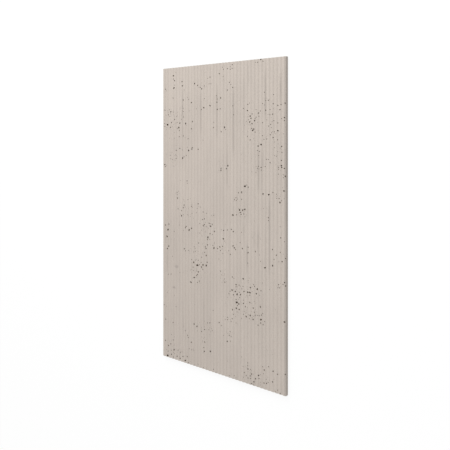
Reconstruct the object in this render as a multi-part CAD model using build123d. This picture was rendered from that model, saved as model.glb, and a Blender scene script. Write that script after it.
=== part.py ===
"""Ribbed concrete wall panel, cast in one piece, lying on its back with the ribbed face up.

Frame: millimetres, +Z is the outward normal of the ribbed face, +Y runs along the ribs (up the wall
when the panel is hung), +X across the ribs. The origin is the centre of the flat back face.
"""

from build123d import *
import math
import os

# Driving dimensions
PANEL_WIDTH = 600.0
PANEL_LENGTH = 1200.0
# Solid concrete behind the bottom of the grooves
BACKING_THICKNESS = 13.5
# Rib spacing of the mould; it is eased a little so that whole ribs fill the width
RIB_PITCH = 16.2
# Groove bottom to rib crest
RIB_HEIGHT = 2.5
# Rounding of each rib's crest; the groove's rounding follows from it
CREST_RADIUS = 8.5
# Narrow chamfer round the edge of the back face
BACK_ARRIS = 1.0
# Rounding where the ribbed face meets the two long sides
FACE_ARRIS = 1.5


def rib_wave(width, backing, pitch_wanted, height, crest_radius):
    """Arcs of the ribbed face in section, from the left edge to the right one.

    Crest and groove arcs meet tangentially half-way up each flank. Both edges lie at the bottom of a
    groove, so that two panels set side by side share a groove.
    """
    rib_count = max(1, round(width / pitch_wanted))
    half_pitch = width / rib_count / 2
    flank_angle = 2 * math.atan(height / half_pitch)
    groove_radius = half_pitch / math.sin(flank_angle) - crest_radius
    flank_degrees = math.degrees(flank_angle)

    start = (-width / 2, backing)
    arcs = [JernArc(start, (1, 0), groove_radius, flank_degrees)]
    for rib in range(rib_count):
        is_last = rib == rib_count - 1
        crest = JernArc(arcs[-1] @ 1, arcs[-1] % 1, crest_radius, -2 * flank_degrees)
        groove_turn = flank_degrees if is_last else 2 * flank_degrees
        groove = JernArc(crest @ 1, crest % 1, groove_radius, groove_turn)
        arcs += [crest, groove]
    print(f"{rib_count} ribs, pitch {2 * half_pitch:.3f} mm, flank {flank_degrees:.1f} degrees, "
          f"groove radius {groove_radius:.2f} mm")
    return arcs


def concrete_panel():
    """The section across the ribs, drawn out to the panel's length."""
    with BuildPart() as panel:
        with BuildSketch(Plane.XZ):
            with BuildLine():
                arcs = rib_wave(PANEL_WIDTH, BACKING_THICKNESS, RIB_PITCH, RIB_HEIGHT, CREST_RADIUS)
                back_right = (PANEL_WIDTH / 2, 0)
                back_left = (-PANEL_WIDTH / 2, 0)
                Polyline(arcs[-1] @ 1, back_right, back_left, arcs[0] @ 0)
            make_face()
        extrude(amount=PANEL_LENGTH / 2, both=True)
        back_face = panel.faces().sort_by(Axis.Z)[0]
        chamfer(back_face.edges(), BACK_ARRIS)
        long_edges = panel.edges().filter_by(Axis.Y)
        face_edges = long_edges.filter_by(lambda edge: edge.center().Z > BACKING_THICKNESS / 2).sort_by(Axis.X)
        fillet([face_edges[0], face_edges[-1]], FACE_ARRIS)
    return panel.part


os.makedirs("parts", exist_ok=True)
panel = concrete_panel()
print(f"volume {panel.volume / 1e9:.6f} cubic metres, box {panel.bounding_box().size}")
export_step(panel, "parts/concrete_panel.step")
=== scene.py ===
# %% [markdown]
# # A ribbed concrete wall panel
# The real object is one slab of fine concrete, cast face down in a ribbed rubber mould. This lesson
# dresses it in Blender: the ribbed slab is modelled again with a finer mesh than the CAD frame has, the
# air pores are cut into it, and the concrete is made with nodes. The slab lies on its back, ribs up.

# %% Load the frame
import bpy
import math
import numpy as np
from mathutils import Matrix, Vector
from mathutils.kdtree import KDTree


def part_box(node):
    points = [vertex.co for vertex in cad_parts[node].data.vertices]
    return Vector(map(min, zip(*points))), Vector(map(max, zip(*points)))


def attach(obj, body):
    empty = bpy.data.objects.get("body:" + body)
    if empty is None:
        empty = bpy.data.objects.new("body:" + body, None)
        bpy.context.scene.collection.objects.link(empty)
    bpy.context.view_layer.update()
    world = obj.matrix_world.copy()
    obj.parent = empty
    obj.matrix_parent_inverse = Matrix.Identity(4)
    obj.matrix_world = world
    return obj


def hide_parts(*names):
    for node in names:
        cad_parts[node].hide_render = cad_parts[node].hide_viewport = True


MM = 0.001
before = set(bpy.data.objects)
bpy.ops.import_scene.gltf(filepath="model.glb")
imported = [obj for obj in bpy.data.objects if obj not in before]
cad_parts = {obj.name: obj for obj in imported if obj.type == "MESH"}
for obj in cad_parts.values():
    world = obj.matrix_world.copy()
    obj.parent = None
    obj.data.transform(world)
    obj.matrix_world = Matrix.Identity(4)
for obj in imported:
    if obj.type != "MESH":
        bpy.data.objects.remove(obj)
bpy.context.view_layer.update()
PANEL_NODE = "concrete_panel"
panel_low, panel_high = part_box(PANEL_NODE)
PANEL_WIDTH, PANEL_LENGTH, PANEL_THICKNESS = panel_high - panel_low
print("panel box in mm:", [round(side / MM, 2) for side in panel_high - panel_low])

# %% [markdown]
# ## The camera
# A product picture of a tall panel is usually taken with the camera level and the lens shifted, so that
# upright edges stay parallel. The panel lies flat here, so the same camera is turned with it: it looks
# down at the ribbed face from the panel's right, and the top of the picture points along the ribs. Its
# place was worked out from the four corners of the face and the thin strip of the right edge.

# %% Camera
PHOTO_SIDE = 450.0
FOCAL_PIXELS = 552.7
HORIZON_PIXEL = 136.66
CAMERA_PLACE = Vector((1.3223, 0.3161, 1.6876))
CAMERA_TURN = math.radians(37.715)
SENSOR_WIDTH = 36.0


def add_camera():
    """A level camera with a shifted lens, turned so that the ribs run up the picture."""
    data = bpy.data.cameras.new("camera")
    camera = bpy.data.objects.new("camera", data)
    bpy.context.scene.collection.objects.link(camera)
    data.sensor_width = SENSOR_WIDTH
    data.lens = FOCAL_PIXELS / PHOTO_SIDE * SENSOR_WIDTH
    data.shift_y = (HORIZON_PIXEL - PHOTO_SIDE / 2) / PHOTO_SIDE
    right = Vector((math.cos(CAMERA_TURN), 0, -math.sin(CAMERA_TURN)))
    up = Vector((0, 1, 0))
    back = right.cross(up)
    turn = Matrix((right, up, back)).transposed()
    camera.matrix_world = Matrix.Translation(CAMERA_PLACE) @ turn.to_4x4()
    bpy.context.scene.camera = camera
    return camera


camera = add_camera()
print("lens in mm:", round(camera.data.lens, 2), "shift:", round(camera.data.shift_y, 4))

# %% [markdown]
# ## One rib in section
# Each rib is a round crest that runs tangentially into a round groove. Such a line could be drawn as a
# curve, but Spin makes it from a single point with exact arcs: half a groove, a crest, half a groove. The
# numbers below repeat the panel's real section, and the arcs are the same tangent arcs.

# %% Rib section
RIB_COUNT = 37
RIB_HEIGHT = 2.5 * MM
CREST_RADIUS = 8.5 * MM
RIB_PITCH = PANEL_WIDTH / RIB_COUNT
GROOVE_LEVEL = PANEL_THICKNESS - RIB_HEIGHT
FLANK_ANGLE = 2 * math.atan(RIB_HEIGHT / (RIB_PITCH / 2))
GROOVE_RADIUS = RIB_PITCH / 2 / math.sin(FLANK_ANGLE) - CREST_RADIUS
CREST_STEPS = 10
HALF_GROOVE_STEPS = 3


def only(piece):
    """Selects one object alone and makes it active."""
    bpy.ops.object.select_all(action="DESELECT")
    piece.select_set(True)
    bpy.context.view_layer.objects.active = piece


def spin_point(centre_x, centre_z, angle, steps):
    """Draws the selected point along an arc about an axis that runs along the ribs."""
    centre = (centre_x, panel_low.y, centre_z)
    axis = (0, 1 if angle > 0 else -1, 0)
    bpy.ops.mesh.spin(steps=steps, angle=abs(angle), center=centre, axis=axis)


def draw_rib():
    """The first rib's section at the panel's lower end, as one line of points."""
    bpy.ops.object.select_all(action="DESELECT")
    start = (panel_low.x, panel_low.y, GROOVE_LEVEL)
    bpy.ops.mesh.primitive_plane_add(size=RIB_PITCH, location=start)
    rib = bpy.context.object
    bpy.ops.object.transform_apply(location=True, rotation=True, scale=True)
    bpy.ops.object.mode_set(mode="EDIT")
    bpy.ops.mesh.select_all(action="SELECT")
    bpy.ops.mesh.merge(type="CENTER")
    groove_centre_z = GROOVE_LEVEL + GROOVE_RADIUS
    crest_centre_z = PANEL_THICKNESS - CREST_RADIUS
    crest_x = panel_low.x + RIB_PITCH / 2
    spin_point(panel_low.x, groove_centre_z, FLANK_ANGLE, HALF_GROOVE_STEPS)
    spin_point(crest_x, crest_centre_z, -2 * FLANK_ANGLE, CREST_STEPS)
    spin_point(panel_low.x + RIB_PITCH, groove_centre_z, FLANK_ANGLE, HALF_GROOVE_STEPS)
    bpy.ops.object.mode_set(mode="OBJECT")
    return rib


panel = draw_rib()
panel.name = "ribbed_panel"
panel.data.name = "ribbed_panel"
section = np.array([vertex.co for vertex in panel.data.vertices])
print("rib points:", len(section), "from", section.min(0) / MM, "to", section.max(0) / MM)

# %% [markdown]
# ## The ribbed slab
# In the works the ribs come from the mould, and the back is struck off flat before the concrete sets. Here
# Array lays the one rib side by side across the width, the line of points is extruded along the ribs, and
# the rim of that sheet is drawn down to the back. The rows along the ribs keep the faces short enough for
# the pores to be cut cleanly.

# %% Slab
LENGTH_ROWS = 48


def array_ribs(piece):
    """Repeats the rib across the panel and welds the ends together."""
    only(piece)
    array = piece.modifiers.new("ribs", "ARRAY")
    array.count = RIB_COUNT
    array.use_relative_offset = False
    array.use_constant_offset = True
    array.constant_offset_displace = (RIB_PITCH, 0, 0)
    array.use_merge_vertices = True
    array.merge_threshold = 0.01 * MM
    bpy.ops.object.modifier_apply(modifier=array.name)


def pick_edges(piece, wanted):
    """Selects, in edit mode, the edges whose two ends pass the test."""
    bpy.ops.mesh.select_mode(type="EDGE")
    bpy.ops.mesh.select_all(action="DESELECT")
    bpy.ops.object.mode_set(mode="OBJECT")
    points = piece.data.vertices
    for edge in piece.data.edges:
        ends = [points[index].co for index in edge.vertices]
        edge.select = wanted(*ends)
    bpy.ops.object.mode_set(mode="EDIT")


def raise_slab(piece):
    """Extrudes the wave along the ribs, then draws its rim down to a closed flat back."""
    only(piece)
    bpy.ops.object.mode_set(mode="EDIT")
    bpy.ops.mesh.select_mode(type="VERT")
    bpy.ops.mesh.select_all(action="SELECT")
    along = {"value": (0, PANEL_LENGTH, 0)}
    bpy.ops.mesh.extrude_region_move(TRANSFORM_OT_translate=along)
    pick_edges(piece, lambda a, b: abs(a.y - b.y) > PANEL_LENGTH / 2)
    bpy.ops.mesh.subdivide(number_cuts=LENGTH_ROWS - 1)
    bpy.ops.mesh.select_mode(type="EDGE")
    bpy.ops.mesh.select_all(action="DESELECT")
    bpy.ops.mesh.select_non_manifold()
    bpy.ops.mesh.extrude_region_move(TRANSFORM_OT_translate={"value": (0, 0, -GROOVE_LEVEL / 2)})
    bpy.ops.transform.resize(value=(1, 1, 0), center_override=(0, 0, 0))
    bpy.ops.mesh.edge_face_add()
    bpy.ops.mesh.select_all(action="SELECT")
    bpy.ops.mesh.normals_make_consistent(inside=False)
    bpy.ops.object.mode_set(mode="OBJECT")


array_ribs(panel)
raise_slab(panel)
print("slab points:", len(panel.data.vertices), "faces:", len(panel.data.polygons))

# %% [markdown]
# ## Arrises
# An arris is the line where two faces of a casting meet. Fresh concrete can't fill a mould's corner to a
# knife edge, so the arrises come out a little blunt. The back gets the panel's plain one millimetre
# chamfer. The ribbed face runs over a small round into the two long sides, and its cut ends are only eased.

# %% Arrises
BACK_ARRIS = 1.0 * MM
FACE_ARRIS = 1.5 * MM
END_ARRIS = 0.4 * MM
NEAR = 0.01 * MM


def on_back_rim(a, b):
    """True for the edges round the flat back."""
    return a.z < NEAR and b.z < NEAR


def on_long_side(a, b):
    """True for the edges where the ribbed face meets the two long sides."""
    high = min(a.z, b.z) > GROOVE_LEVEL - NEAR
    return high and abs(a.x - b.x) < NEAR and abs(abs(a.x) - PANEL_WIDTH / 2) < NEAR


def on_cut_end(a, b):
    """True for the wavy edges at the two ends of the ribs."""
    high = min(a.z, b.z) > GROOVE_LEVEL - FACE_ARRIS / 2
    return high and abs(a.y - b.y) < NEAR and abs(abs(a.y) - PANEL_LENGTH / 2) < NEAR


def blunt(piece, wanted, size, steps):
    """Bevels the edges that pass the test."""
    only(piece)
    bpy.ops.object.mode_set(mode="EDIT")
    pick_edges(piece, wanted)
    bpy.ops.mesh.bevel(offset=size, segments=steps, affect="EDGES", clamp_overlap=False)
    bpy.ops.object.mode_set(mode="OBJECT")


blunt(panel, on_back_rim, BACK_ARRIS, 1)
blunt(panel, on_long_side, FACE_ARRIS, 4)
blunt(panel, on_cut_end, END_ARRIS, 1)
print("after the arrises:", len(panel.data.vertices), "points")

# %% [markdown]
# ## Where the pores lie
# Air that is trapped against the mould leaves open bubbles in the face. They aren't spread evenly: some
# parts are calm, and others have whole swarms. Those that can be told apart in the picture are listed one by
# one, quarter by quarter, as across, up and mouth width in millimetres from the middle of the panel.

# %% Pores listed one by one
TOP_LEFT_PORES = (
    (-240, 567, 5.4), (-234, 547, 6.2), (-238, 517, 6.2), (-190, 523, 5.4), (-192, 540, 4.6),
    (-125, 528, 5.5), (-109, 521, 4.4), (-95, 512, 4.2), (-89, 505, 5.2), (-75, 516, 3.2),
    (-286, 514, 4.2), (-280, 506, 4.4), (-58, 545, 2.8), (-45, 549, 4.2), (-71, 569, 2.8),
    (-49, 523, 3.2), (-240, 554, 3.4), (-235, 528, 3.4), (-226, 580, 3.2), (-179, 505, 3.4),
    (-187, 465, 5.2), (-142, 453, 4.8), (-157, 466, 3.0), (-161, 475, 3.2), (-241, 475, 3.8),
    (-45, 437, 5.0), (-77, 430, 5.4), (-90, 424, 4.0), (-75, 466, 3.2), (-11, 449, 5.0), (-10, 422, 5.0),
    (-13, 475, 3.0), (-10, 462, 3.4), (-255, 419, 5.2), (-269, 407, 4.2), (-262, 428, 4.4),
    (-288, 426, 3.6), (-188, 432, 3.4), (-187, 418, 3.6), (-115, 427, 3.4), (-152, 421, 3.4),
    (-234, 387, 5.4), (-252, 375, 5.0), (-273, 366, 7.0), (-220, 375, 3.0), (-205, 371, 5.4),
    (-173, 369, 6.6), (-168, 361, 3.4), (-137, 377, 5.4), (-142, 348, 4.2), (-257, 355, 4.8),
    (-247, 358, 5.0), (-210, 353, 6.8), (-218, 349, 5.4), (-185, 396, 4.8), (-196, 387, 4.4),
    (-280, 393, 3.4), (-289, 371, 3.4), (-288, 359, 3.4), (-279, 346, 3.6), (-207, 342, 3.6),
    (-187, 319, 4.6), (-208, 316, 3.8), (-159, 308, 3.2), (-263, 310, 3.4), (-28, 352, 3.6),
    (-27, 372, 2.8), (-205, 268, 4.0), (-224, 260, 4.0), (-163, 273, 3.2), (-157, 261, 5.4),
    (-138, 272, 5.6), (-140, 266, 5.0), (-107, 266, 4.8), (-189, 229, 5.6), (-181, 234, 5.6),
    (-170, 240, 4.4), (-257, 239, 3.0), (-224, 227, 3.8), (-231, 238, 4.4), (-245, 222, 4.4),
    (-231, 218, 4.8), (-289, 199, 5.0), (-281, 196, 4.4), (-287, 191, 3.8), (-165, 138, 5.2),
    (-165, 127, 4.8), (-220, 88, 4.0), (-212, 92, 3.4), (-220, 78, 3.0), (-219, 64, 5.4), (-160, 62, 3.4),
    (-148, 67, 3.4), (-107, 49, 4.6), (-182, 38, 6.2), (-186, 27, 5.4), (-213, 21, 5.2), (-194, 15, 4.2),
    (-142, 36, 4.2), (-137, 32, 3.4), (-139, 8, 3.2), (-115, 13, 3.8), (-80, 19, 4.0), (-27, 10, 3.2),
    (-95, 37, 3.4),
)
TOP_RIGHT_PORES = (
    (64, 588, 4.2), (40, 576, 3.8), (63, 575, 4.4), (54, 572, 3.6), (21, 575, 3.4), (1, 559, 4.2),
    (20, 547, 3.0), (194, 597, 5.4), (202, 591, 3.4), (180, 588, 3.6), (50, 522, 3.4), (56, 515, 3.4),
    (66, 502, 4.0), (39, 494, 4.0), (6, 465, 5.2), (210, 477, 3.6), (215, 447, 3.4), (227, 447, 3.8),
    (201, 437, 3.2), (209, 431, 3.6), (247, 434, 4.0), (266, 428, 4.2), (280, 430, 3.4), (276, 412, 4.4),
    (297, 434, 4.2), (215, 412, 3.8), (192, 410, 4.0), (183, 402, 5.0), (185, 391, 3.4), (134, 413, 4.6),
    (143, 440, 4.4), (135, 436, 3.4), (116, 421, 2.8), (147, 392, 5.0), (154, 400, 4.0), (150, 384, 4.8),
    (172, 387, 4.6), (168, 382, 3.4), (166, 375, 4.8), (139, 379, 3.8), (143, 369, 6.8), (154, 364, 5.2),
    (201, 367, 3.6), (233, 395, 3.4), (245, 397, 4.4), (249, 374, 3.2), (282, 380, 3.2), (294, 384, 4.2),
    (294, 373, 3.6), (236, 360, 4.2), (239, 349, 3.8), (228, 354, 3.2), (266, 365, 3.2), (266, 337, 5.4),
    (152, 347, 3.8), (157, 339, 7.4), (163, 344, 5.6), (168, 333, 3.8), (26, 351, 7.0), (33, 344, 3.6),
    (9, 335, 4.8), (67, 433, 3.8), (70, 399, 3.0), (5, 424, 3.6), (134, 317, 3.2), (147, 304, 4.2),
    (207, 306, 4.4), (219, 308, 4.0), (234, 323, 3.8), (241, 330, 3.4), (251, 334, 3.2), (255, 328, 3.6),
    (247, 313, 3.8), (265, 305, 3.4), (195, 287, 5.8), (182, 282, 4.8), (179, 266, 3.8), (186, 262, 3.2),
    (282, 282, 4.2), (283, 260, 3.8), (281, 232, 4.4), (281, 213, 5.4), (282, 207, 5.0), (269, 207, 4.4),
    (269, 199, 3.6), (294, 204, 4.4), (297, 176, 5.0), (290, 181, 3.8), (290, 171, 3.6), (268, 182, 3.4),
    (261, 246, 3.0), (217, 234, 3.0), (227, 234, 3.2), (234, 222, 3.8), (195, 204, 4.6), (183, 208, 3.6),
    (173, 207, 3.8), (179, 200, 3.4), (196, 194, 3.6), (171, 185, 3.6), (213, 208, 3.2), (184, 247, 3.0),
    (42, 206, 7.4), (36, 194, 4.2), (8, 194, 5.2), (8, 186, 5.2), (122, 131, 7.4), (129, 136, 4.0),
    (137, 129, 4.0), (107, 108, 7.0), (92, 105, 5.4), (203, 108, 5.6), (228, 107, 5.8), (246, 116, 3.6),
    (292, 124, 5.8), (287, 136, 3.2), (272, 96, 5.0), (276, 82, 5.8), (282, 89, 3.2), (73, 79, 4.0),
    (83, 76, 3.8), (80, 86, 3.4), (107, 81, 5.0), (98, 41, 6.2), (112, 41, 6.6), (121, 45, 6.4),
    (101, 32, 4.4), (104, 25, 4.0), (117, 28, 3.6), (84, 22, 3.6), (67, 20, 6.0), (227, 24, 3.8),
    (227, 14, 3.6),
)
BOTTOM_LEFT_PORES = (
    (-199, 0, 4.0), (-194, -5, 6.0), (-187, 0, 3.2), (-266, -48, 6.2), (-286, -53, 4.8), (-271, -70, 6.6),
    (-275, -99, 7.6), (-237, -74, 3.4), (-207, -45, 3.2), (-171, -47, 5.0), (-174, -53, 3.8),
    (-141, -52, 4.6), (-154, -60, 7.8), (-185, -65, 3.2), (-267, -139, 6.0), (-274, -149, 5.2),
    (-245, -178, 4.6), (-254, -253, 3.8), (-269, -256, 3.0), (-179, -139, 6.0), (-174, -147, 3.6),
    (-156, -143, 3.2), (-123, -130, 3.0), (-122, -142, 3.6), (-105, -107, 4.8), (-85, -11, 5.6),
    (-75, -8, 4.2), (-69, -22, 3.6), (-79, -35, 5.0), (-75, -31, 4.0), (-64, -36, 3.6), (-49, -23, 5.0),
    (-34, -25, 4.8), (-43, -34, 6.0), (-54, -43, 3.8), (-24, -52, 5.4), (-45, -63, 4.4), (-33, -65, 3.4),
    (-97, -28, 3.4), (-97, -66, 3.6), (-57, -79, 7.6), (-59, -88, 4.0), (-59, -109, 4.4),
    (-69, -117, 6.2), (-65, -124, 5.4), (-26, -117, 6.6), (-30, -107, 3.2), (-9, -117, 4.2),
    (-73, -140, 4.2), (-84, -143, 4.0), (-64, -150, 5.6), (-89, -161, 4.2), (-106, -176, 4.2),
    (-60, -177, 4.6), (-91, -182, 3.2), (-141, -177, 3.0), (-129, -187, 6.2), (-112, -196, 8.8),
    (-100, -191, 5.0), (-81, -190, 7.0), (-64, -190, 7.0), (-89, -201, 6.8), (-81, -208, 4.2),
    (-133, -207, 6.0), (-130, -219, 3.8), (-115, -215, 3.6), (-106, -222, 5.4), (-109, -232, 4.2),
    (-115, -237, 4.8), (-127, -247, 5.6), (-100, -257, 6.0), (-110, -264, 3.2), (-144, -268, 7.0),
    (-274, -331, 3.2), (-29, -360, 2.8), (-292, -386, 4.4), (-281, -391, 5.0), (-225, -382, 2.8),
    (-285, -446, 4.4), (-241, -450, 4.2), (-127, -433, 5.2), (-112, -439, 5.6), (-59, -415, 3.4),
    (-46, -412, 3.8), (-74, -444, 5.4), (-89, -455, 5.0), (-50, -439, 4.4), (-33, -439, 3.4),
    (-38, -433, 3.2), (-184, -455, 3.4), (-174, -470, 3.0), (-162, -486, 4.6), (-158, -494, 3.4),
    (-73, -494, 5.4), (-85, -495, 4.0), (-142, -509, 4.4), (-77, -516, 4.2), (-75, -530, 5.8),
    (-44, -523, 5.8), (-131, -538, 4.2), (-154, -538, 3.2), (-240, -522, 4.2), (-286, -534, 4.2),
    (-263, -532, 3.4), (-255, -542, 4.8), (-269, -552, 4.6), (-237, -562, 6.2), (-213, -557, 4.4),
    (-202, -565, 4.2), (-253, -568, 3.6), (-278, -570, 4.0), (-270, -576, 3.6), (-251, -584, 6.0),
    (-272, -594, 7.4), (-220, -585, 4.8), (-204, -589, 5.4), (-188, -578, 4.2), (-164, -572, 5.8),
    (-175, -591, 6.0), (-158, -595, 3.4), (-234, -577, 3.4), (-240, -592, 3.6), (-280, -587, 3.4),
    (-28, -589, 3.2), (-15, -596, 3.2),
)
BOTTOM_RIGHT_PORES = (
    (22, -43, 4.6), (10, -41, 3.2), (39, -40, 4.0), (58, -36, 5.2), (69, -43, 4.4), (106, -42, 3.4),
    (21, -76, 5.6), (67, -97, 4.8), (73, -104, 5.6), (79, -109, 5.0), (17, -105, 4.4), (4, -109, 5.4),
    (6, -122, 4.0), (46, -118, 4.6), (54, -131, 4.0), (111, -102, 5.8), (136, -94, 3.8), (136, -114, 4.6),
    (135, -153, 3.2), (169, -106, 4.2), (192, -138, 3.6), (188, -116, 3.2), (212, -159, 6.8),
    (245, -146, 5.4), (244, -89, 4.4), (261, -107, 4.2), (284, -127, 4.8), (271, -129, 4.2),
    (250, -124, 3.4), (298, -114, 4.0), (279, -43, 4.2), (277, -95, 3.6), (295, -55, 3.0),
    (298, -211, 4.2), (288, -207, 4.4), (270, -211, 4.8), (275, -221, 3.8), (295, -199, 4.6),
    (115, -214, 5.6), (65, -215, 4.6), (27, -229, 5.0), (27, -241, 5.6), (6, -202, 3.6), (12, -215, 3.6),
    (141, -208, 3.8), (162, -228, 4.0), (166, -234, 3.4), (82, -241, 5.4), (96, -241, 4.6),
    (114, -243, 3.4), (147, -241, 5.0), (178, -242, 6.2), (195, -245, 4.0), (108, -253, 5.0),
    (82, -249, 3.4), (118, -261, 4.4), (145, -260, 6.4), (135, -261, 5.8), (174, -260, 6.2),
    (188, -263, 3.2), (145, -270, 4.4), (62, -265, 6.8), (77, -268, 8.0), (86, -277, 6.8),
    (102, -276, 5.0), (48, -281, 4.2), (69, -282, 4.2), (53, -271, 3.4), (99, -287, 3.4), (97, -267, 3.4),
    (82, -297, 3.8), (145, -297, 5.2), (84, -308, 7.6), (94, -312, 7.2), (87, -319, 3.4), (83, -330, 5.4),
    (96, -332, 6.0), (65, -339, 5.2), (116, -305, 4.2), (124, -316, 5.6), (160, -315, 5.6),
    (191, -304, 6.8), (165, -329, 3.6), (179, -338, 3.4), (186, -338, 3.6), (197, -333, 3.6),
    (168, -340, 3.4), (147, -344, 5.2), (128, -352, 6.4), (159, -357, 5.6), (142, -357, 4.6),
    (116, -346, 3.2), (106, -364, 3.4), (194, -351, 7.0), (194, -363, 5.0), (203, -367, 4.0),
    (182, -373, 3.8), (211, -354, 3.2), (294, -339, 6.4), (69, -356, 3.0), (64, -373, 4.8),
    (40, -373, 3.8), (40, -382, 3.6), (30, -383, 3.8), (57, -385, 4.0), (1, -401, 4.8), (10, -410, 4.6),
    (53, -424, 3.4), (50, -439, 4.2), (57, -443, 4.0), (54, -461, 3.0), (39, -465, 5.6), (135, -523, 3.4),
    (135, -534, 3.2), (136, -546, 5.0), (152, -560, 5.0), (147, -568, 4.6), (148, -577, 4.0),
    (119, -563, 3.6), (129, -571, 4.0), (136, -579, 3.4), (183, -557, 5.2), (191, -552, 3.8),
    (185, -568, 3.6), (170, -573, 5.2), (164, -585, 5.4), (151, -595, 4.2), (160, -595, 5.0),
    (191, -590, 3.4), (209, -530, 5.8), (201, -521, 3.6), (228, -513, 3.6), (247, -525, 4.8),
    (265, -531, 4.2), (245, -563, 4.8), (208, -577, 5.6), (218, -577, 4.8), (226, -570, 4.0),
    (217, -562, 3.4), (205, -545, 3.4), (297, -523, 4.4), (256, -594, 3.6), (277, -595, 3.6),
)
PLACED_PORES = TOP_LEFT_PORES + TOP_RIGHT_PORES + BOTTOM_LEFT_PORES + BOTTOM_RIGHT_PORES
print("pores placed by hand:", len(PLACED_PORES))

# %% [markdown]
# ## Swarms of the smallest pores
# Round these pores lie swarms of smaller ones still, and a thin scatter covers the rest. Each swarm is given
# by its middle, its half width and half height, and how many pores it has. The places come from a seeded
# generator, so that every run makes the same panel, and a pore that would touch another is left out.

# %% Swarms
SEED = 20
# Mouth widths in millimetres, most of them near the small end
SWARM_MOUTHS = (1.4, 3.0)
MOUTH_SKEW = 1.5
SCATTER_COUNT = 150
# All swarms are made this many times as dense
SWARM_DENSITY = 1.6
# Share of a swarm's half width and half height within which most of its pores lie
SWARM_SPREAD = 0.55
# Room that two pores keep between their middles: a share of both mouths and a gap
PORE_ROOM = 0.75
PORE_GAP = 0.6
EDGE_MARGIN = 3
SWARMS = (
    (-240, 375, 55, 45, 34), (-250, 420, 40, 20, 14), (-190, 425, 8, 40, 8), (45, 577, 30, 10, 6),
    (52, 518, 12, 12, 4), (-60, 525, 35, 20, 8), (150, 370, 35, 60, 32), (235, 340, 40, 50, 20),
    (225, 430, 40, 25, 10), (275, 230, 20, 60, 16), (185, 200, 20, 20, 8), (-230, 235, 35, 30, 12),
    (10, 190, 15, 12, 4), (85, 85, 20, 12, 6), (100, 30, 30, 20, 14), (270, 100, 20, 25, 8),
    (-215, 85, 10, 12, 5), (-160, 25, 50, 30, 22), (-60, -50, 45, 50, 32), (-20, -115, 35, 20, 10),
    (-110, -150, 50, 40, 18), (-115, -215, 35, 50, 28), (25, -110, 30, 25, 10), (15, -215, 20, 20, 6),
    (120, -265, 80, 45, 52), (140, -335, 60, 30, 26), (45, -380, 30, 12, 8), (45, -435, 15, 20, 5),
    (-60, -430, 35, 25, 8), (-85, -470, 25, 30, 8), (270, -211, 12, 8, 6), (-250, -560, 50, 40, 26),
    (-130, -538, 15, 8, 4), (-200, -570, 20, 20, 10), (140, -560, 30, 30, 16), (215, -565, 30, 20, 10),
    (0, -592, 280, 6, 14),
)


def clear_of(pores, x, y, mouth):
    """True where a new pore keeps a little concrete between itself and every other."""
    for other_x, other_y, other_mouth in pores:
        if math.hypot(x - other_x, y - other_y) < PORE_ROOM * (mouth + other_mouth) + PORE_GAP:
            return False
    return True


def chance_at(x, y):
    """A generator of its own for each place, so that one change leaves every other pore as it was."""
    return np.random.default_rng((SEED, round(x) + 1000, round(y) + 1000))


def scatter_pores(rng):
    """The placed pores and the small ones round them, as across, up and mouth in millimetres."""
    pores = list(PLACED_PORES)
    reach_x = PANEL_WIDTH / MM / 2 - EDGE_MARGIN
    reach_y = PANEL_LENGTH / MM / 2 - EDGE_MARGIN
    places = []
    for x, y, spread_x, spread_y, count in SWARMS:
        spread = (spread_x * SWARM_SPREAD, spread_y * SWARM_SPREAD)
        places.extend(rng.normal((x, y), spread, (round(count * SWARM_DENSITY), 2)))
    places.extend(rng.uniform((-reach_x, -reach_y), (reach_x, reach_y), (SCATTER_COUNT, 2)))
    least, most = SWARM_MOUTHS
    for x, y in places:
        mouth = least + (most - least) * chance_at(x, y).random() ** MOUTH_SKEW
        inside = abs(x) < reach_x and abs(y) < reach_y
        if inside and clear_of(pores, x, y, mouth):
            pores.append((x, y, mouth))
    return pores


pores = scatter_pores(np.random.default_rng(SEED))
print("all pores:", len(pores))

# %% [markdown]
# ## Cutters for the pores
# A bubble is a lumpy ball that the face cuts open. So each cutter is a small ball, stretched and dented at
# random, and sunk a little below the face. All the cutters are joined as one mesh.

# %% Pore cutters
# How far a cutter's middle lies below the face, as a share of its radius
SINK_RANGE = (0.10, 0.40)
# Mouth widths in millimetres above which the next finer ball is used
SMALL_MOUTH = 2.5
LARGE_MOUTH = 5.0
# All mouths are widened by this much, which suits the picture best
MOUTH_EASE = 1.07
# Depth of the dents and how close they lie, then the least and most stretch along each axis
DENTS = ((0.16, 2.4), (0.10, 4.5))
STRETCH = ((1.0, 1.35), (0.8, 1.0), (0.85, 1.2))
# Distance in metres over which the slope of the face is measured
SLOPE_STEP = 0.2 * MM


def face_height(x):
    """Height of the ribbed face above the back, for places across the panel in metres."""
    u = np.abs((x - panel_low.x) % RIB_PITCH - RIB_PITCH / 2)
    join = CREST_RADIUS * math.sin(FLANK_ANGLE)
    crest_drop = np.sqrt(np.maximum(CREST_RADIUS**2 - np.minimum(u, join) ** 2, 0))
    groove_reach = np.maximum(RIB_PITCH / 2 - u, 0)
    groove_drop = np.sqrt(np.maximum(GROOVE_RADIUS**2 - np.minimum(groove_reach, GROOVE_RADIUS) ** 2, 0))
    crest = PANEL_THICKNESS - CREST_RADIUS + crest_drop
    groove = GROOVE_LEVEL + GROOVE_RADIUS - groove_drop
    return np.where(u < join, crest, groove)


def ball(fineness):
    """Corner points and faces of a small ball of radius one."""
    bpy.ops.object.select_all(action="DESELECT")
    bpy.ops.mesh.primitive_ico_sphere_add(subdivisions=fineness, radius=1.0)
    model = bpy.context.object
    points = np.array([vertex.co for vertex in model.data.vertices])
    faces = np.array([face.vertices for face in model.data.polygons])
    bpy.data.objects.remove(model)
    return points / np.linalg.norm(points, axis=1, keepdims=True), faces


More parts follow.
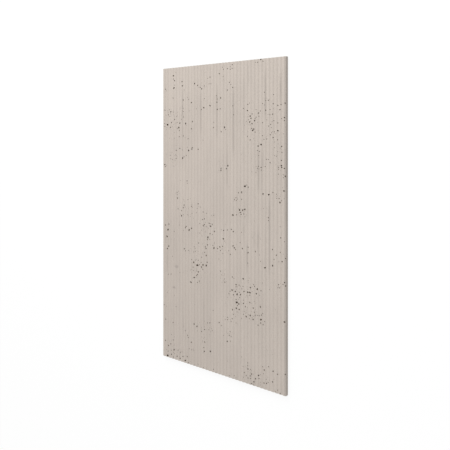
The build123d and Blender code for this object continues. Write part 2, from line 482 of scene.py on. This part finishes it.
def lumpy(points, rng):
    """The ball with dents, stretched and turned at random, and as wide on the whole as it was."""
    dents = np.zeros(len(points))
    for strength, waves in DENTS:
        way = rng.normal(size=3)
        way /= np.linalg.norm(way)
        dents += strength * np.sin(waves * points @ way + rng.uniform(0, 2 * math.pi))
    shape = points * (1 + dents)[:, None]
    shape *= [rng.uniform(least, most) for least, most in STRETCH]
    shape[:, :2] /= np.sqrt(3 * np.mean(shape[:, :2] ** 2))
    turn = Matrix.Rotation(rng.uniform(0, math.pi), 3, "Z")
    return shape @ np.array(turn).T


def pore_cutters(pores):
    """All the cutters as one mesh object."""
    balls = [ball(fineness) for fineness in (1, 2, 3)]
    all_points = []
    all_faces = []
    used = 0
    for x, y, mouth in pores:
        points, faces = balls[(mouth > SMALL_MOUTH) + (mouth > LARGE_MOUTH)]
        rng = chance_at(x, y)
        sink = rng.uniform(*SINK_RANGE)
        radius = MOUTH_EASE * mouth * MM / 2 / math.sqrt(1 - sink**2)
        x, y = x * MM, y * MM
        slope = float(face_height(x + SLOPE_STEP) - face_height(x - SLOPE_STEP)) / (2 * SLOPE_STEP)
        inward = np.array((slope, 0, -1)) / math.hypot(slope, 1)
        middle = np.array((x, y, float(face_height(x)))) + inward * radius * sink
        all_points.append(lumpy(points, rng) * radius + middle)
        all_faces.append(faces + used)
        used += len(points)
    mesh = bpy.data.meshes.new("pore_cutters")
    mesh.from_pydata(np.concatenate(all_points).tolist(), [], np.concatenate(all_faces).tolist())
    cutters = bpy.data.objects.new("pore_cutters", mesh)
    bpy.context.scene.collection.objects.link(cutters)
    return cutters


cutters = pore_cutters(pores)
print("cutter points:", len(cutters.data.vertices))

# %% [markdown]
# ## Cutting the pores
# One Boolean takes all the cutters away from the slab. The ribs are then shaded smooth, and edges that are
# sharper than the angle below stay crisp, as the mouths of the pores do.

# %% Pores
SMOOTH_ANGLE = math.radians(35)


def cut(piece, cutters):
    """Takes the cutters away from the piece."""
    only(piece)
    boolean = piece.modifiers.new("pores", "BOOLEAN")
    boolean.operation = "DIFFERENCE"
    boolean.solver = "MANIFOLD"
    boolean.object = cutters
    bpy.ops.object.modifier_apply(modifier=boolean.name)
    bpy.data.objects.remove(cutters)


cut(panel, cutters)
only(panel)
bpy.ops.object.shade_smooth_by_angle(angle=SMOOTH_ANGLE)
panel.data.calc_loop_triangles()
print("triangles:", len(panel.data.loop_triangles))
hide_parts(PANEL_NODE)
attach(panel, "root")

# %% [markdown]
# ## How deep each point lies
# The wall of a pore is painted darker towards the bottom, as painted shade with some dust. So the depth of
# each point below the face, as a share of half the width of the nearest pore, is kept as an attribute.

# %% Pore depth
# Depth in millimetres below which a point counts as lying on the face
LEAST_DEPTH = 0.02


def points_of(piece):
    """The places of all the points of a piece, in metres."""
    points = np.empty(len(piece.data.vertices) * 3)
    piece.data.vertices.foreach_get("co", points)
    return points.reshape(-1, 3)


def keep_values(piece, name, values):
    """Stores one number for each point as an attribute that a material can read."""
    layer = piece.data.attributes.new(name, "FLOAT", "POINT")
    layer.data.foreach_set("value", values.astype(np.float32))


def keep_depth(piece, pores):
    """Stores how deep each point lies in its pore, as a share of the pore's half width, and 0 outside."""
    points = points_of(piece)
    depth = face_height(points[:, 0]) - points[:, 2]
    outside = points[:, 2] < GROOVE_LEVEL / 4
    outside |= PANEL_WIDTH / 2 - np.abs(points[:, 0]) < 1.01 * FACE_ARRIS
    outside |= PANEL_LENGTH / 2 - np.abs(points[:, 1]) < 1.01 * END_ARRIS
    depth = np.where(outside, 0, np.maximum(depth, 0)) / MM
    nearest = KDTree(len(pores))
    for number, (x, y, _) in enumerate(pores):
        nearest.insert((x, y, 0), number)
    nearest.balance()
    share = np.zeros(len(points))
    for index in np.flatnonzero(depth > LEAST_DEPTH):
        x, y = points[index, :2] / MM
        number = nearest.find((x, y, 0))[1]
        share[index] = depth[index] / (pores[number][2] / 2)
    keep_values(piece, "pore_depth", share)
    return depth


depth = keep_depth(panel, pores)
print("deepest pore:", round(depth.max(), 2), "mm")

# %% [markdown]
# ## Water stains, with some painted shade
# Water and release oil run along the ribs while the concrete is young, and leave darker streaks. Each streak
# is given by where it lies across the panel, where it ends and starts along it, in millimetres, and how
# strong it is. Strong streaks off the grooves, such as those at 213 and 278 mm, are partly painted shade of
# the ribs' flanks. The last one only darkens a band beside the right edge. The streaks are kept as an
# attribute of the points, for the material to use.

# %% Streaks
# Strong streaks off the grooves, such as 213 and 278 mm, are partly painted shade of the ribs' flanks; the
# last one darkens a band beside the right edge
STREAKS = (
    (-235, 440, 510, 0.5), (-190, 300, 525, 0.8), (-93, 310, 510, 0.8), (-11, 300, 530, 0.7),
    (68, 230, 510, 1.0), (117, 300, 560, 0.35), (213, 370, 570, 1.3), (278, 420, 550, 1.0),
    (39, 100, 300, 0.6), (115, 200, 300, 0.4), (183, 100, 280, 0.9), (197, 100, 280, 0.6),
    (231, -200, 110, 1.0), (181, -130, 0, 0.9), (163, -100, 0, 0.7), (132, -200, -60, 0.8),
    (49, -300, 0, 0.4), (116, -80, 10, 0.7), (213, -200, 0, 0.4), (-77, -460, -300, 0.5),
    (-275, -260, -150, 0.9), (297, -650, 650, 0.85),
)
STREAK_WIDTH = 3.6
STREAK_FADE = 45.0


def keep_streaks(piece):
    """Stores how strongly the streaks darken each point, from 0 to 1."""
    x, y = points_of(piece)[:, :2].T / MM
    darkening = np.zeros(len(x))
    for across, low, high, strength in STREAKS:
        beside = strength * np.exp(-(((x - across) / STREAK_WIDTH) ** 2))
        along = np.clip((y - low) / STREAK_FADE, 0, 1) * np.clip((high - y) / STREAK_FADE, 0, 1)
        darkening = np.maximum(darkening, beside * along)
    keep_values(piece, "darkening", darkening)
    return darkening


darkening = keep_streaks(panel)
print("stained points:", int((darkening > 0.1).sum()))

# %% [markdown]
# ## Nodes that read like arithmetic
# A material is a small calculation for each point of the surface. To let it read as one, a shader socket is
# wrapped so that plain arithmetic on it adds Math nodes, and one method adds any other node.

# %% Node helper
class Value:
    """A shader socket that adds, subtracts, multiplies and divides."""

    def __init__(self, tree, socket):
        self.tree = tree
        self.socket = socket

    def node(self, kind, settings, sockets, output=0):
        """Adds a node: its settings first, then the values or links of its sockets."""
        made = self.tree.nodes.new(kind)
        for name, setting in settings.items():
            setattr(made, name, setting)
        for key, value in sockets.items():
            if isinstance(value, Value):
                self.tree.links.new(value.socket, made.inputs[key])
            else:
                made.inputs[key].default_value = value
        return Value(self.tree, made.outputs[output])

    def math(self, operation, *values):
        """Adds one Math node."""
        return self.node("ShaderNodeMath", {"operation": operation}, dict(enumerate(values)))

    def __add__(self, other):
        return self.math("ADD", self, other)

    def __radd__(self, other):
        return self.math("ADD", other, self)

    def __sub__(self, other):
        return self.math("SUBTRACT", self, other)

    def __rsub__(self, other):
        return self.math("SUBTRACT", other, self)

    def __mul__(self, other):
        return self.math("MULTIPLY", self, other)

    def __rmul__(self, other):
        return self.math("MULTIPLY", other, self)

    def __truediv__(self, other):
        return self.math("DIVIDE", self, other)

    def __rtruediv__(self, other):
        return self.math("DIVIDE", other, self)

    def between(self, low, high):
        """Smoothly 0 at low and 1 at high."""
        sockets = {"Value": self, "From Min": low, "From Max": high, "To Min": 0.0, "To Max": 1.0}
        return self.node("ShaderNodeMapRange", {"interpolation_type": "SMOOTHSTEP"}, sockets)

    def noise(self, scale, detail=2.0, roughness=0.5):
        """Noise about 0, from roughly -0.5 to 0.5, for a place."""
        sockets = {"Vector": self, "Scale": scale, "Detail": detail, "Roughness": roughness}
        return self.node("ShaderNodeTexNoise", {}, sockets) - 0.5

    def cells(self, scale, output):
        """Random cells for a place: the distance from a cell's middle, or one colour for each cell."""
        made = self.node("ShaderNodeTexVoronoi", {}, {"Vector": self, "Scale": scale}).socket.node
        return Value(self.tree, made.outputs[output])

    def parts(self):
        """The three coordinates of a place."""
        split = self.node("ShaderNodeSeparateXYZ", {}, {"Vector": self}).socket.node
        return [Value(self.tree, split.outputs[axis]) for axis in "XYZ"]

    def stretched(self, x, y, z):
        """A place with its three coordinates scaled."""
        sockets = {0: self, 1: (x, y, z)}
        return self.node("ShaderNodeVectorMath", {"operation": "MULTIPLY"}, sockets)

    def times_colour(self, colour):
        """A colour scaled by this value."""
        sockets = {0: colour, "Scale": self}
        return self.node("ShaderNodeVectorMath", {"operation": "SCALE"}, sockets)

    def mixed(self, first, second):
        """The first colour where this is 0 and the second where it is 1."""
        sockets = {0: self, 6: first, 7: second}
        settings = {"data_type": "RGBA", "clamp_factor": True}
        return self.node("ShaderNodeMix", settings, sockets, output=2)


def new_material(name):
    """An empty surface with its Principled shader, and a value to start the calculation from."""
    material = bpy.data.materials.new(name)
    material.use_nodes = True
    tree = material.node_tree
    shader = tree.nodes["Principled BSDF"]
    place = Value(tree, tree.nodes.new("ShaderNodeTexCoord").outputs["Object"])
    return material, shader, place


print("node helper ready")

# %% [markdown]
# ## Smudges and painted shade on the sides
# Two things depend on the place alone: a few dark smudges on the face, and painted shade on the sides, which
# are made a little darker than the face. Each smudge is given by its middle, half width, half height and
# strength.

# %% Smudges and sides
SMUDGES = ((-223, -217, 15, 8, 1.1), (-236, -305, 12, 6, 1.5))


def smudged(across, along):
    """How strongly the smudges stain a place."""
    darkening = 0
    for x, y, wide, tall, strength in SMUDGES:
        right = (across / MM - x) / wide
        up = (along / MM - y) / tall
        darkening = darkening + strength * (1 - (right * right + up * up).between(0.0, 1.0))
    return darkening


def on_sides(across, along):
    """1 on the two long sides and the two ends, and 0 on the face."""
    long_side = across.math("ABSOLUTE", across).between(PANEL_WIDTH / 2 - FACE_ARRIS, PANEL_WIDTH / 2)
    end_side = along.math("ABSOLUTE", along).between(PANEL_LENGTH / 2 - END_ARRIS, PANEL_LENGTH / 2)
    return long_side.math("MAXIMUM", long_side, end_side)


print("smudges:", len(SMUDGES))

# %% [markdown]
# ## Concrete
# The panel is a warm taupe grey. Its colour is never flat: cement drifts into broad soft clouds, water
# leaves faint streaks that run along the grooves, and sand shows as a fine grain. All of it is worked out
# from the place on the panel, and the pores are painted dark towards the bottom as painted shade with some
# dust.

# %% Concrete material
CONCRETE_COLOUR = (0.505, 0.451, 0.405)
# Dark colour of the painted shade, with some dust, deep in the pores
PORE_SHADE_COLOUR = (0.080, 0.050, 0.026)
# How much each of these lightens or darkens the concrete
CLOUD_SHARE = 0.14
BAND_SHARE = 0.10
VEIN_SHARE = 0.10
CEMENT_SHARE = 0.20
SAND_SHARE = 0.22
STREAK_SHARE = 0.10
DARKENING_SHARE = 0.16
DARKENING_VEIN_SHARE = 0.3
# Painted shade that makes the sides darker than the face
SIDE_SHADE_SHARE = 0.2
# Painted shade in the tiny pinholes, as a share
PINHOLE_SHADE_SHARE = 0.7
# Depth, as a share of a pore's half width, at which its wall is fully dark with painted shade
DARK_DEPTH = 0.9


def concrete_material():
    """Taupe concrete with clouds, streaks, grain, and painted shade in the pores, the pinholes and on the
    sides.
    """
    material, shader, place = new_material("cast_concrete")
    across, along, height = place.parts()
    groove = 1 - height.between(GROOVE_LEVEL, PANEL_THICKNESS)
    side = on_sides(across, along)
    clouds = place.noise(5.0, 3.0)
    veins = place.stretched(60.0, 4.0, 60.0).noise(1.0, 3.0)
    bands = place.stretched(24.0, 1.2, 0.0).noise(1.0, 2.0)
    cement = place.noise(260.0, 2.0, 0.6)
    sand = place.cells(1100.0, output="Color") - 0.5
    bubble = 1 - place.cells(190.0, output="Distance").between(0.05, 0.13)
    kept = place.cells(190.0, output="Color").between(0.50, 0.56)
    # The tiny pinholes are bumped in and painted dark as painted shade
    pinholes = bubble * kept * place.noise(14.0).between(-0.12, 0.12)
    streaks = place.stretched(62.0, 6.0, 0.0).noise(1.0, 2.0).between(0.12, 0.30) * groove * groove
    darkening = place.node("ShaderNodeAttribute", {"attribute_name": "darkening"}, {}, output=2)
    darkening = darkening + smudged(across, along)
    shade = 1 + clouds * CLOUD_SHARE + bands * BAND_SHARE + veins * VEIN_SHARE
    shade = shade + cement * CEMENT_SHARE + sand * SAND_SHARE - streaks * STREAK_SHARE
    # Streaks and smudges darken the concrete; some streaks are partly painted shade of the ribs' flanks
    shade = shade * (1 - darkening * (DARKENING_SHARE + veins * DARKENING_VEIN_SHARE))
    # Painted shade darkens the sides
    shade = shade * (1 - side * SIDE_SHADE_SHARE) * (1 - pinholes * PINHOLE_SHADE_SHARE)
    depth = place.node("ShaderNodeAttribute", {"attribute_name": "pore_depth"}, {}, output=2)
    body = shade.times_colour(CONCRETE_COLOUR)
    # The pore walls are painted dark towards the bottom: painted shade with some dust
    pore_shade = depth.between(0.0, DARK_DEPTH)
    colour = pore_shade.mixed(body, (*PORE_SHADE_COLOUR, 1.0))
    relief = cement + sand * 0.6 - pinholes * 2
    bump = place.node("ShaderNodeBump", {}, {"Strength": 0.5, "Distance": 0.3 * MM, "Height": relief})
    tree = material.node_tree
    tree.links.new(colour.socket, shader.inputs["Base Color"])
    tree.links.new(bump.socket, shader.inputs["Normal"])
    shader.inputs["Roughness"].default_value = 0.85
    shader.inputs["Specular IOR Level"].default_value = 0.0
    return material


panel.data.materials.clear()
panel.data.materials.append(concrete_material())
print("materials on the panel:", [m.name for m in panel.data.materials])

# %% [markdown]
# ## Floor and light
# The picture has a white sweep and soft, wide light from the upper left, so the ribs show only as gentle
# bands. A white floor, a large light and a pale surrounding do the same here.

# %% Floor and light
FLOOR_SIDE = 14.0
FLOOR_DROP = 0.2 * MM
FLOOR_GREY = 0.15
# The floor gives some light of its own, so that it stays white as the picture's ground does
FLOOR_GLOW = 0.845
KEY_PLACE = (-0.5, 3.0, 2.1)
KEY_TARGET = (0, 0.1, 0)
KEY_SIDE = 2.0
KEY_WATTS = 75
# The room's light where it is dimmest, and how much brighter it is elsewhere
ROOM_DIM = 0.1
ROOM_RISE = 0.74


def add_floor():
    """A white floor just under the panel."""
    bpy.ops.object.select_all(action="DESELECT")
    bpy.ops.mesh.primitive_plane_add(size=FLOOR_SIDE, location=(0, 0, -FLOOR_DROP))
    floor = bpy.context.object
    floor.name = "floor"
    material, shader, _ = new_material("white_floor")
    shader.inputs["Base Color"].default_value = (FLOOR_GREY, FLOOR_GREY, FLOOR_GREY, 1.0)
    shader.inputs["Roughness"].default_value = 0.7
    shader.inputs["Specular IOR Level"].default_value = 0.0
    shader.inputs["Emission Color"].default_value = (1.0, 1.0, 1.0, 1.0)
    shader.inputs["Emission Strength"].default_value = FLOOR_GLOW
    floor.data.materials.append(material)
    return floor


def add_soft_light(name, place, target, side, watts):
    """A square of light that faces a point."""
    data = bpy.data.lights.new(name, "AREA")
    data.size = side
    data.energy = watts
    light = bpy.data.objects.new(name, data)
    bpy.context.scene.collection.objects.link(light)
    aim = Vector(target) - Vector(place)
    light.matrix_world = Matrix.Translation(place) @ aim.to_track_quat("-Z", "Y").to_matrix().to_4x4()
    return light


def add_room():
    """A pale room all round, dimmer low down on the right, and plain white where the camera sees it."""
    world = bpy.data.worlds.new("pale_room")
    bpy.context.scene.world = world
    world.use_nodes = True
    tree = world.node_tree
    way = Value(tree, tree.nodes.new("ShaderNodeTexCoord").outputs["Generated"])
    across, _, height = way.parts()
    lit = (height - across * 0.6).between(-0.85, -0.1)
    light = ROOM_DIM + lit * ROOM_RISE
    seen = way.node("ShaderNodeLightPath", {}, {})
    background = tree.nodes["Background"]
    background.inputs["Color"].default_value = (1.0, 1.0, 1.0, 1.0)
    tree.links.new(light.math("MAXIMUM", light, seen).socket, background.inputs["Strength"])


floor = add_floor()
add_room()
add_soft_light("key", KEY_PLACE, KEY_TARGET, KEY_SIDE, KEY_WATTS)
view = bpy.context.scene.view_settings
view.view_transform = "Standard"
view.look = "None"
print("lights ready")
